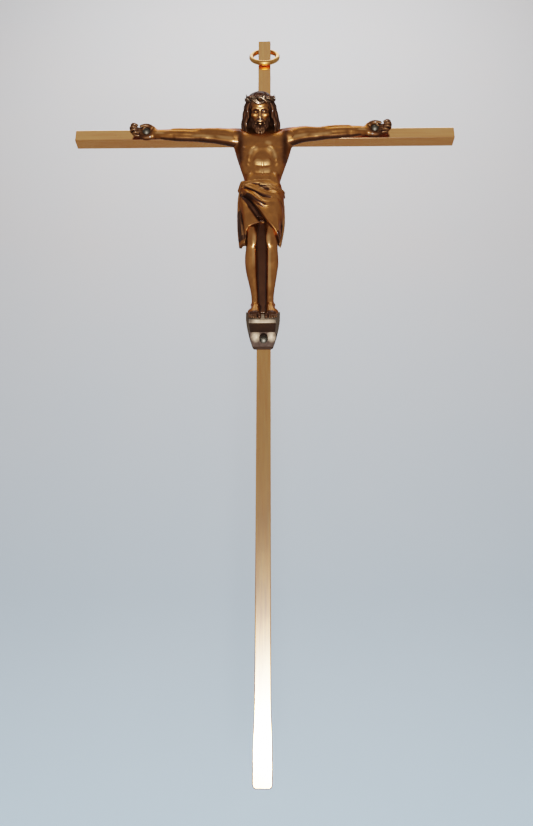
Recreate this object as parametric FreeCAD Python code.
"""Processional cross: a square-bar brass cross with a cast corpus, a footrest and a hanging ring.

Frame: millimetres, +Z up the shaft, -Y to the front, +X to the viewer's right.
The origin is the centre of the foot end face.
"""
import FreeCAD, Part
import math
import os

Vec = FreeCAD.Vector

# ---------------------------------------------------------------- driving dimensions
BAR = 12.7                      # side of the square bar, half an inch
FRONT = -BAR / 2                # Y of the front face
BACK = BAR / 2                  # Y of the back face
HEIGHT = 715.0                  # overall length of the upright
SPAN = 380.0                    # length of the crossbar
CROSS_Z = 593.2                 # height of the crossbar's centre line
EDGE_R = 0.8                    # rounding of the long edges of the bars

FLARE_START = 64.0              # height at which the foot begins to widen
FLARE_FULL = 16.0               # height at which it is widest
FLARE_HALF = 7.4                # half width there
FOOT_CORNER_R = 3.0             # corner radius of the foot in front view
FOOT_EDGE_R = 1.4               # rounding around the end face

RING_WIRE_R = 2.35              # half the thickness of the ring's wire
RING_R = 13.75                  # radius of the ring's centre line
RING_HOLE_R = 3.7               # cross-drilled hole in the upright
RING_HOLE_Z = 707.3             # its height
RING_OFFSET = 0.78              # the bent wire sits this much above the hole's axis at mid bar
RING_TILT = 20.6                # degrees from hanging straight down, at rest on the front face

FIGURE_X = -1.0                 # the casting's centre line
LEGS_X = -1.8                   # centre line between the legs
LEG_HALF_GAP = 9.8              # each leg's axis from there, at the knee
FOOT_HALF_GAP = 7.2             # each foot's axis from there
WEB_HALF_WIDTH = 6.8            # the thin web of metal left between the legs
WEB_STAND = 6.5                 # its back face in front of the bar
WEB_THICK = 4.0
WEB_BOTTOM_Z = 388.0
WEB_TOP_Z = 470.0
HEAD_X = -3.6                   # the head leans a little to the viewer's left
HEAD_Z = 599.0
HEAD_STAND = 24.0               # head centre in front of the bar's front face
HEAD_BOW = 40.0                 # degrees that the head is bowed forward
HEAD_HALF = (14.2, 14.6, 18.2)  # half sizes across, front to back, and chin to crown
CROWN_R = 13.6                  # radius of each strand of the wreath
CROWN_WIRE_R = 2.3
CROWN_RAISE = 11.0              # wreath above the head centre, along the head
CROWN_WEAVE = 11.0              # tilt of each strand, in degrees, leaning three different ways
THORN_COUNT = 9
THORN_LENGTH = 3.0              # thorn beyond the strands

SPIGOT_R = 3.0                  # shoulder spigots
SPIGOT_LENGTH = 7.0             # reach into the torso from the shoulder station
SHOULDER_X = 24.0               # shoulder station, each side of the figure's centre line
SHOULDER_Z = 576.5
SHOULDER_STAND = 13.0

PALM_X = {"left": -117.6, "right": 110.3}
PALM_Z = {"left": 592.6, "right": 594.6}
PALM_STAND = 3.6                # middle of the palm in front of the bar
PALM_SCREW_R = 1.5
PALM_SCREW_HEAD_R = 3.75
PALM_SCREW_SEAT = 6.0           # screw head's underside in front of the bar
PALM_SCREW_DEPTH = 8.0          # reach of the screw into the bar

BOSS_Z = 503.0                  # boss on the figure's back
BOSS_R = 5.0
BOSS_LENGTH = 8.0
BACK_SCREW_R = 2.0
BACK_SCREW_HEAD_R = 4.0
BACK_SCREW_DEPTH = 6.0          # reach of the back screw into the boss
LAP_SCREW_R = 1.2
LAP_SCREW_HEAD_R = 2.4
LAP_SCREW_RISE = 3.4            # each lap screw above or below the crossbar's centre line
LAP_SCREW_LENGTH = 9.5

REST_TOP_Z = 391.6              # footrest: back edge of the platform
REST_LIP_Z = 370.2              # front edge of the platform
REST_LIP_STAND = 25.6
REST_LIP_HEIGHT = 2.8
REST_UNDER_STAND = 9.0          # where the underside meets the lug
REST_UNDER_Z = 366.8
REST_TIP_STAND = 2.6
REST_TIP_Z = 355.6
REST_BOTTOM_Z = 353.8
REST_HALF_TOP = 16.0            # half width at the back edge
REST_HALF_MID = 13.9            # half width where the lug begins
REST_HALF_BOTTOM = 8.6
REST_HALF_LIP = 12.0            # half width of the front lip
REST_HALF_WAIST = 11.2          # half width where the underside meets the lug
REST_FLARE = REST_HALF_TOP - REST_HALF_WAIST
REST_CORNER_R = 3.0
REST_EASE = 0.7                 # rounding of the platform's edges
REST_SHIFT_X = -0.7             # the bracket sits a little to the viewer's left
REST_SCREW_Z = 362.2
REST_SCREW_SEAT = 3.4           # screw head's underside in front of the bar
REST_SCREW_R = 2.0
REST_SCREW_HEAD_R = 3.75
REST_SCREW_DEPTH = 9.0          # reach of the screw into the upright
PIN_ALONG = 16.0                # foot pins, along the slope from its back edge
PIN_R = 1.25
PIN_BELOW = 4.0                 # reach of a pin below the platform
PIN_LENGTH = 7.5

SCREW_HEAD_RISE = 2.3           # height of the domed screw heads
HEAD_OVERLAP = 0.4              # a domed head's shank starts this far inside it
SLOT_WIDTH = 1.0
SLOT_DEPTH = 0.9
HEAD_GAP = 0.25                 # play around a head in its counterbore

os.makedirs("parts", exist_ok=True)


# ---------------------------------------------------------------- shape helpers
def stand(distance):
    """Y of a point that stands this far in front of the bars' front face."""
    return FRONT - distance


def export(shape, node):
    """Write one sub-part."""
    shape.exportStep("parts/" + node + ".step")
    print("%-20s volume %9.1f mm3  solids %d  valid %s"
          % (node, shape.Volume, len(shape.Solids), shape.isValid()))


def rod(radius, start, direction, length):
    """A cylinder from a point along a direction."""
    return Part.makeCylinder(radius, length, start, direction)


def ellipsoid(centre, half, bow=0.0):
    """An ellipsoid with half sizes along X, Y and Z, its top bowed forward by an angle."""
    ball = Part.makeSphere(1.0)
    scale = FreeCAD.Matrix()
    scale.scale(half[0], half[1], half[2])
    shape = ball.transformGeometry(scale)
    shape.rotate(Vec(0, 0, 0), Vec(1, 0, 0), bow)
    shape.translate(centre)
    return shape


def oval_wire(centre, side, up, half_side, half_up, points=14):
    """A closed oval through points around a centre, in the plane of two directions."""
    corners = []
    for index in range(points):
        angle = 2 * math.pi * index / points
        corners.append(centre + side * (half_side * math.cos(angle)) + up * (half_up * math.sin(angle)))
    curve = Part.BSplineCurve()
    curve.interpolate(Points=corners, PeriodicFlag=True)
    return Part.Wire([curve.toShape()])


def standing_loft(sections):
    """A body of oval levels: (height, centre X, half width, back stand, front stand)."""
    wires = []
    for z, x, half_width, back, front in sections:
        centre = Vec(x, stand((back + front) / 2), z)
        wires.append(oval_wire(centre, Vec(1, 0, 0), Vec(0, 1, 0), half_width, (front - back) / 2))
    return Part.makeLoft(wires, True)


def reaching_loft(sections):
    """An arm of oval slices: (X, centre Z, half height, centre stand, half depth)."""
    wires = []
    for x, z, half_height, middle, half_depth in sections:
        centre = Vec(x, stand(middle), z)
        wires.append(oval_wire(centre, Vec(0, 1, 0), Vec(0, 0, 1), half_depth, half_height))
    return Part.makeLoft(wires, True)


def fuse_all(shapes):
    """One solid from overlapping ones."""
    result = shapes[0]
    for shape in shapes[1:]:
        result = result.fuse(shape)
    return result


def domed_head(radius, rise, seat, outwards):
    """A domed screw head on a seat, with a slot across it."""
    dome_r = (radius * radius + rise * rise) / (2 * rise)
    ball = Part.makeSphere(dome_r, seat + outwards * (rise - dome_r))
    head = ball.common(rod(radius, seat, outwards, rise + 1))
    slot = Part.makeBox(4 * radius, 2 * SLOT_DEPTH, SLOT_WIDTH)
    slot.translate(Vec(seat.x - 2 * radius, seat.y - rise - SLOT_DEPTH, seat.z - SLOT_WIDTH / 2))
    return head.cut(slot)


def shank(radius, seat, length):
    """The shank of a domed screw, from inside its head backwards."""
    return rod(radius, seat + Vec(0, -HEAD_OVERLAP, 0), Vec(0, 1, 0), HEAD_OVERLAP + length)


def countersunk_screw(radius, head_radius, face, inwards, length):
    """A flat-headed screw whose head lies flush in a face."""
    cone_depth = head_radius - radius
    cone = Part.makeCone(head_radius, radius, cone_depth, face, inwards)
    return cone.fuse(rod(radius, face, inwards, length))


# ---------------------------------------------------------------- the two bars
def rounded_bar(length):
    """The square bar along Z with softened long edges."""
    bar = Part.makeBox(BAR, BAR, length, Vec(-BAR / 2, -BAR / 2, 0))
    long_edges = [edge for edge in bar.Edges if abs(edge.Length - length) < 0.01]
    return bar.makeFillet(EDGE_R, long_edges)


def flared_foot():
    """The widened foot with rounded corners, up to where the flare begins."""
    half = BAR / 2
    bend = (FLARE_START - FLARE_FULL) / 2
    outline = []
    for side in (1, -1):
        flare = Part.BezierCurve()
        flare.setPoles([Vec(side * half, 0, FLARE_START),
                        Vec(side * half, 0, FLARE_START - bend),
                        Vec(side * FLARE_HALF, 0, FLARE_FULL + bend),
                        Vec(side * FLARE_HALF, 0, FLARE_FULL)])
        corner_x = FLARE_HALF - FOOT_CORNER_R
        diagonal = FOOT_CORNER_R * math.sqrt(0.5)
        corner = Part.Arc(Vec(side * FLARE_HALF, 0, FOOT_CORNER_R),
                          Vec(side * (corner_x + diagonal), 0, FOOT_CORNER_R - diagonal),
                          Vec(side * corner_x, 0, 0))
        straight = Part.LineSegment(Vec(side * FLARE_HALF, 0, FLARE_FULL),
                                    Vec(side * FLARE_HALF, 0, FOOT_CORNER_R))
        outline += [flare.toShape(), straight.toShape(), corner.toShape()]
    bottom = Part.LineSegment(Vec(FLARE_HALF - FOOT_CORNER_R, 0, 0),
                              Vec(FOOT_CORNER_R - FLARE_HALF, 0, 0))
    top = Part.LineSegment(Vec(half, 0, FLARE_START), Vec(-half, 0, FLARE_START))
    outline += [bottom.toShape(), top.toShape()]
    face = Part.Face(Part.Wire(Part.__sortEdges__(outline)))
    face.translate(Vec(0, FRONT, 0))
    foot = face.extrude(Vec(0, BAR, 0))
    rim = []
    for edge in foot.Edges:
        box = edge.BoundBox
        on_face = box.YLength < 0.01
        if on_face and box.ZMax < FLARE_START - 0.01:
            rim.append(edge)
        elif on_face and box.ZLength > 1 and box.ZMax < FLARE_START + 0.01:
            rim.append(edge)
    return foot.makeFillet(EDGE_R, rim)


def upright():
    """The shaft, notched at the front for the crossbar and drilled for its screws and ring."""
    shaft = rounded_bar(HEIGHT - FLARE_START)
    shaft.translate(Vec(0, 0, FLARE_START))
    bar = shaft.fuse(flared_foot()).removeSplitter()
    notch = Part.makeBox(BAR + 2, BAR / 2 + 1, BAR, Vec(-BAR / 2 - 1, FRONT - 1, CROSS_Z - BAR / 2))
    bar = bar.cut(notch)
    bar = bar.cut(rod(RING_HOLE_R, Vec(-BAR, 0, RING_HOLE_Z), Vec(1, 0, 0), 2 * BAR))
    return bar.cut(lap_screws()).cut(back_screw()).cut(footrest_screw())


def crossbar():
    """The arm of the cross, notched at the back, with the palm screws' holes."""
    bar = rounded_bar(SPAN)
    bar.translate(Vec(0, 0, -SPAN / 2))
    bar.rotate(Vec(0, 0, 0), Vec(0, 1, 0), 90)
    bar.translate(Vec(0, 0, CROSS_Z))
    notch = Part.makeBox(BAR, BAR / 2 + 1, BAR + 2, Vec(-BAR / 2, 0, CROSS_Z - BAR / 2 - 1))
    bar = bar.cut(notch)
    for side in PALM_X:
        bar = bar.cut(palm_screw(side))
    return bar.cut(lap_screws())


def lap_screws():
    """Two countersunk screws through the half lap, from the back."""
    screws = []
    for rise in (-LAP_SCREW_RISE, LAP_SCREW_RISE):
        face = Vec(0, BACK, CROSS_Z + rise)
        screws.append(countersunk_screw(LAP_SCREW_R, LAP_SCREW_HEAD_R, face, Vec(0, -1, 0),
                                        LAP_SCREW_LENGTH))
    return Part.makeCompound(screws)


# ---------------------------------------------------------------- the corpus
def head_point(across, along, out):
    """A point in the head's own frame: across, up along the head, and out of the face."""
    bow = math.radians(HEAD_BOW)
    y = stand(HEAD_STAND) - along * math.sin(bow) - out * math.cos(bow)
    z = HEAD_Z + along * math.cos(bow) - out * math.sin(bow)
    return Vec(HEAD_X + across, y, z)


def crown():
    """The wreath: three strands that cross each other, with thorns, round the bowed head."""
    bow = math.radians(HEAD_BOW)
    weave = math.radians(CROWN_WEAVE)
    wreath = None
    for index in range(3):
        turn = 2 * math.pi * index / 3
        across = math.sin(weave) * math.cos(turn)
        out = math.sin(weave) * math.sin(turn)
        rise = math.cos(weave)
        normal = head_point(across, rise, out) - head_point(0, 0, 0)
        radius = CROWN_R + 0.3 * (index - 1)
        strand = Part.makeTorus(radius, CROWN_WIRE_R, head_point(0, CROWN_RAISE, 0), normal)
        wreath = strand if wreath is None else wreath.fuse(strand)
    for index in range(THORN_COUNT):
        angle = 2 * math.pi * (index + 0.5) / THORN_COUNT
        lift = math.radians(50 if index % 2 else 5)
        flat = CROWN_R * math.cos(angle), CROWN_R * math.sin(angle)
        root = head_point(flat[0], CROWN_RAISE, flat[1])
        reach = math.cos(lift)
        tip = head_point(flat[0] + math.cos(angle) * reach, CROWN_RAISE + math.sin(lift),
                         flat[1] + math.sin(angle) * reach)
        wreath = wreath.fuse(Part.makeCone(1.1, 0.3, CROWN_WIRE_R + THORN_LENGTH, root, tip - root))
    return wreath


def leg(centre_x, splay):
    """One leg from the thigh to the ankle, bent forward at the knee."""
    sections = [
        (494.0, centre_x - splay * 1.5, 8.6, 7.0, 26.0),
        (466.0, centre_x, 6.2, 11.5, 27.0),
        (450.0, centre_x - splay * 0.2, 5.4, 9.0, 24.0),
        (436.0, centre_x, 5.9, 6.5, 21.5),
        (420.0, centre_x - splay * 1.2, 4.9, 6.5, 18.5),
        (402.0, centre_x - splay * 2.3, 3.9, 6.5, 15.5),
        (384.0, centre_x - splay * 2.2, 4.2, 6.0, 16.0),
    ]
    return standing_loft(sections)


def platform_slope():
    """The fall of the footrest's platform from its back edge to its lip."""
    return math.atan2(REST_TOP_Z - REST_LIP_Z, REST_LIP_STAND)


def foot(centre_x):
    """A foot along the sloping platform, heel to toes: (along, half width, half thickness)."""
    slope = platform_slope()
    wires = []
    sections = [(7.5, 3.8, 3.6), (13.0, 4.6, 4.3), (20.0, 5.4, 3.4), (28.0, 5.6, 2.4)]
    for along, half_width, half_thick in sections:
        rise = half_thick + 0.05
        out = along * math.cos(slope) + rise * math.sin(slope)
        z = REST_TOP_Z - along * math.sin(slope) + rise * math.cos(slope)
        normal = Vec(0, -math.sin(slope), math.cos(slope))
        wires.append(oval_wire(Vec(centre_x, stand(out), z), Vec(1, 0, 0), normal, half_width, half_thick))
    return Part.makeLoft(wires, True)


def torso():
    """Shoulders, rib cage, waist and the draped loincloth."""
    x = FIGURE_X
    return standing_loft([
        (587.0, x, 12.0, 5.0, 17.0),
        (583.0, x, 22.0, 3.5, 20.5),
        (573.0, x, 25.5, 2.5, 24.5),
        (558.0, x - 1.0, 24.0, 3.0, 26.5),
        (545.0, x - 0.8, 21.4, 4.0, 25.0),
        (529.0, x, 17.6, 5.5, 21.0),
        (519.0, x - 0.5, 20.0, 4.0, 23.0),
        (506.0, x - 0.8, 21.8, 2.5, 25.5),
        (490.0, x - 1.0, 21.2, 2.5, 27.5),
        (472.0, x - 1.2, 18.8, 4.0, 27.5),
        (458.0, x - 1.4, 16.5, 7.0, 25.5),
    ])


def hair():
    """The long hair from the crown of the head to the shoulders."""
    return standing_loft([
        (608.0, HEAD_X, 13.0, 9.0, 27.0),
        (598.0, HEAD_X, 16.0, 7.0, 27.0),
        (588.0, HEAD_X + 0.6, 17.0, 5.0, 24.0),
        (580.0, HEAD_X + 1.4, 17.6, 4.0, 21.0),
    ])


def arm_stations(side):
    """Slices of one arm from the shoulder seam to the wrist."""
    seam = FIGURE_X + (SHOULDER_X if side == "right" else -SHOULDER_X)
    palm = PALM_X[side]
    reach = palm - seam
    rise = PALM_Z[side] - SHOULDER_Z
    stations = []
    for part, lift, half_height, middle, half_depth in (
            (-0.06, 0.00, 8.8, 13.0, 7.6),
            (0.02, 0.00, 8.8, 13.0, 7.6),
            (0.13, 0.08, 8.0, 13.0, 7.0),
            (0.30, 0.20, 7.1, 12.2, 6.4),
            (0.46, 0.36, 6.2, 10.8, 5.8),
            (0.58, 0.48, 6.2, 10.0, 5.6),
            (0.74, 0.66, 5.5, 8.2, 5.0),
            (0.88, 0.84, 4.9, 6.2, 3.8),
            (0.95, 0.96, 5.4, 5.4, 3.4)):
        stations.append((seam + reach * part, SHOULDER_Z + rise * lift, half_height, middle, half_depth))
    return stations


def spigot(side):
    """The round peg of one arm inside the torso."""
    out = 1 if side == "right" else -1
    inner = FIGURE_X + out * (SHOULDER_X - SPIGOT_LENGTH)
    return rod(SPIGOT_R, Vec(inner, stand(SHOULDER_STAND), SHOULDER_Z), Vec(out, 0, 0), SPIGOT_LENGTH + 5)


def arm(side, torso_shape):
    """One arm with its hand, its shoulder spigot and the hole for the palm screw."""
    out = 1 if side == "right" else -1
    palm = Vec(PALM_X[side], stand(PALM_STAND), PALM_Z[side])
    pieces = [
        reaching_loft(arm_stations(side)),
        ellipsoid(palm, (7.6, 3.5, 7.6)),
        ellipsoid(palm + Vec(out * 10.8, -2.0, 1.0), (5.2, 4.6, 4.6)),
        ellipsoid(palm + Vec(-out * 0.5, -2.2, 7.0), (4.2, 2.8, 2.6)),
        ellipsoid(palm + Vec(out * 2.2, -1.8, -6.0), (5.2, 3.0, 3.0)),
    ]
    shape = fuse_all(pieces).cut(torso_shape).fuse(spigot(side))
    seat = Vec(palm.x, stand(PALM_SCREW_SEAT), palm.z)
    shape = shape.cut(rod(PALM_SCREW_HEAD_R + HEAD_GAP, seat, Vec(0, -1, 0), 8))
    behind = Part.makeBox(300, 40, 60, Vec(-150, FRONT, CROSS_Z - 30))
    return shape.cut(behind).cut(palm_screw(side))


def figure():
    """The casting before its holes: head, hair, torso, loincloth, legs, web, feet and back boss."""
    head = ellipsoid(Vec(HEAD_X, stand(HEAD_STAND), HEAD_Z), HEAD_HALF, HEAD_BOW)
    beard = ellipsoid(head_point(0, -14.0, 6.0), (8.0, 6.0, 7.0), HEAD_BOW)
    pieces = [torso(), hair(), head, beard]
    for side in (-1, 1):
        pieces.append(leg(LEGS_X + side * LEG_HALF_GAP, side))
        pieces.append(foot(LEGS_X + side * FOOT_HALF_GAP))
    pieces.append(Part.makeBox(2 * WEB_HALF_WIDTH, WEB_THICK, WEB_TOP_Z - WEB_BOTTOM_Z,
                               Vec(LEGS_X - WEB_HALF_WIDTH, stand(WEB_STAND + WEB_THICK), WEB_BOTTOM_Z)))
    pieces.append(rod(BOSS_R, Vec(0, FRONT, BOSS_Z), Vec(0, -1, 0), BOSS_LENGTH))
    return fuse_all(pieces)


def corpus_body(figure_shape, wreath, rest_shape, pins):
    """The casting with its seats for the arms, wreath, footrest, pins and screw."""
    shape = figure_shape.cut(wreath).cut(rest_shape).cut(pins).cut(back_screw())
    for side in PALM_X:
        shape = shape.cut(spigot(side))
    return shape


# ---------------------------------------------------------------- screws and pins
def palm_screw(side):
    """A dark domed screw through one palm into the crossbar."""
    seat = Vec(PALM_X[side], stand(PALM_SCREW_SEAT), PALM_Z[side])
    head = domed_head(PALM_SCREW_HEAD_R, SCREW_HEAD_RISE, seat, Vec(0, -1, 0))
    return head.fuse(shank(PALM_SCREW_R, seat, PALM_SCREW_SEAT + PALM_SCREW_DEPTH))


def back_screw():
    """The countersunk screw through the upright into the boss on the figure's back."""
    face = Vec(0, BACK, BOSS_Z)
    return countersunk_screw(BACK_SCREW_R, BACK_SCREW_HEAD_R, face, Vec(0, -1, 0), BAR + BACK_SCREW_DEPTH)


def footrest_screw_seat():
    """The bottom of the counterbore in the footrest's lug."""
    return Vec(0, stand(REST_SCREW_SEAT), REST_SCREW_Z)


def footrest_screw():
    """The dark domed screw through the footrest's lug into the upright."""
    seat = footrest_screw_seat()
    head = domed_head(REST_SCREW_HEAD_R, SCREW_HEAD_RISE, seat, Vec(0, -1, 0))
    return head.fuse(shank(REST_SCREW_R, seat, REST_SCREW_SEAT + REST_SCREW_DEPTH))


def foot_pins():
    """A dowel through the platform into each sole."""
    slope = platform_slope()
    into_foot = Vec(0, -math.sin(slope), math.cos(slope))
    on_top = Vec(0, stand(PIN_ALONG * math.cos(slope)), REST_TOP_Z - PIN_ALONG * math.sin(slope))
    pins = []
    for side in (-1, 1):
        start = on_top - into_foot * PIN_BELOW + Vec(LEGS_X + side * FOOT_HALF_GAP, 0, 0)
        pins.append(rod(PIN_R, start, into_foot, PIN_LENGTH))
    return Part.makeCompound(pins)


# ---------------------------------------------------------------- the footrest
def shield_outline():
    """The footrest seen from the front: wide at the platform, rounding in to the lug's tip."""
    top = REST_TOP_Z
    outline = [Part.LineSegment(Vec(-REST_HALF_TOP, 0, top), Vec(REST_HALF_TOP, 0, top)).toShape()]
    for side in (-1, 1):
        outline.append(Part.Arc(Vec(side * REST_HALF_TOP, 0, top),
                                Vec(side * REST_HALF_MID, 0, (top + REST_BOTTOM_Z) / 2),
                                Vec(side * REST_HALF_BOTTOM, 0, REST_BOTTOM_Z)).toShape())
    outline.append(Part.LineSegment(Vec(-REST_HALF_BOTTOM, 0, REST_BOTTOM_Z),
                                    Vec(REST_HALF_BOTTOM, 0, REST_BOTTOM_Z)).toShape())
    return Part.Face(Part.Wire(Part.__sortEdges__(outline)))


def plan_outline():
    """The footrest seen from above: flared against the upright, narrower out to the lip."""
    back = 0.5
    tip = REST_LIP_STAND + 5
    outline = [Part.LineSegment(Vec(-REST_HALF_TOP, FRONT + back, 0),
                                Vec(REST_HALF_TOP, FRONT + back, 0)).toShape(),
               Part.LineSegment(Vec(-REST_HALF_LIP, stand(tip), 0),
                                Vec(REST_HALF_LIP, stand(tip), 0)).toShape()]
    for side in (-1, 1):
        flare = Part.Arc(Vec(side * REST_HALF_TOP, FRONT + back, 0),
                         Vec(side * (REST_HALF_WAIST + REST_FLARE * 0.32), stand(REST_UNDER_STAND * 0.4), 0),
                         Vec(side * REST_HALF_WAIST, stand(REST_UNDER_STAND), 0))
        straight = Part.LineSegment(Vec(side * REST_HALF_WAIST, stand(REST_UNDER_STAND), 0),
                                    Vec(side * REST_HALF_LIP, stand(tip), 0))
        outline += [flare.toShape(), straight.toShape()]
    return Part.Face(Part.Wire(Part.__sortEdges__(outline)))


def footrest(pins):
    """The cast wedge under the feet: sloping platform, front lip and lower lug."""
    profile = [
        (0.0, REST_TOP_Z),
        (REST_LIP_STAND, REST_LIP_Z),
        (REST_LIP_STAND - 0.6, REST_LIP_Z - REST_LIP_HEIGHT),
        (REST_UNDER_STAND, REST_UNDER_Z),
        (REST_TIP_STAND, REST_TIP_Z),
        (0.0, REST_BOTTOM_Z),
    ]
    side_view = Part.makePolygon([Vec(-30, stand(out), z) for out, z in profile + profile[:1]])
    block = Part.Face(side_view).extrude(Vec(60, 0, 0))
    long_edges = [edge for edge in block.Edges
                  if edge.BoundBox.XLength > 50 and edge.BoundBox.YMax < stand(1.0)]
    block = block.makeFillet(REST_EASE, long_edges)
    shield = shield_outline().extrude(Vec(0, -60, 0))
    shield.translate(Vec(0, FRONT + 1, 0))
    lower_edges = [edge for edge in shield.Edges
                   if edge.BoundBox.ZMax < REST_BOTTOM_Z + 0.01 and edge.BoundBox.YLength > 1]
    shield = shield.makeFillet(REST_CORNER_R, lower_edges)
    cheeks = plan_outline().extrude(Vec(0, 0, 60))
    cheeks.translate(Vec(0, 0, REST_BOTTOM_Z - 10))
    bracket = block.common(shield).common(cheeks)
    bracket.translate(Vec(REST_SHIFT_X, 0, 0))
    counterbore = rod(REST_SCREW_HEAD_R + HEAD_GAP, footrest_screw_seat(), Vec(0, -1, 0), 20)
    return bracket.cut(counterbore).cut(footrest_screw()).cut(pins)


# ---------------------------------------------------------------- the ring
def hanging_ring():
    """The closed wire ring through the cross hole, resting on the front face."""
    centre = Vec(0, 0, RING_HOLE_Z - RING_R + RING_OFFSET)
    ring = Part.makeTorus(RING_R, RING_WIRE_R, centre, Vec(0, 1, 0))
    ring.rotate(Vec(0, 0, RING_HOLE_Z), Vec(-1, 0, 0), RING_TILT)
    return ring


# ---------------------------------------------------------------- assembly
figure_shape = figure()
wreath = crown()
pins = foot_pins()
rest_piece = footrest(pins)

export(upright(), "upright")
export(crossbar(), "crossbar")
export(lap_screws(), "lap_joint_screws")
export(corpus_body(figure_shape, wreath, rest_piece, pins), "corpus_body")
export(wreath, "crown_of_thorns")
for side in PALM_X:
    export(arm(side, figure_shape), "corpus_arm_" + side)
    export(palm_screw(side), "palm_screw_" + side)
export(back_screw(), "corpus_back_screw")
export(rest_piece, "footrest")
export(footrest_screw(), "footrest_screw")
export(pins, "foot_pins")
export(hanging_ring(), "hanging_ring")
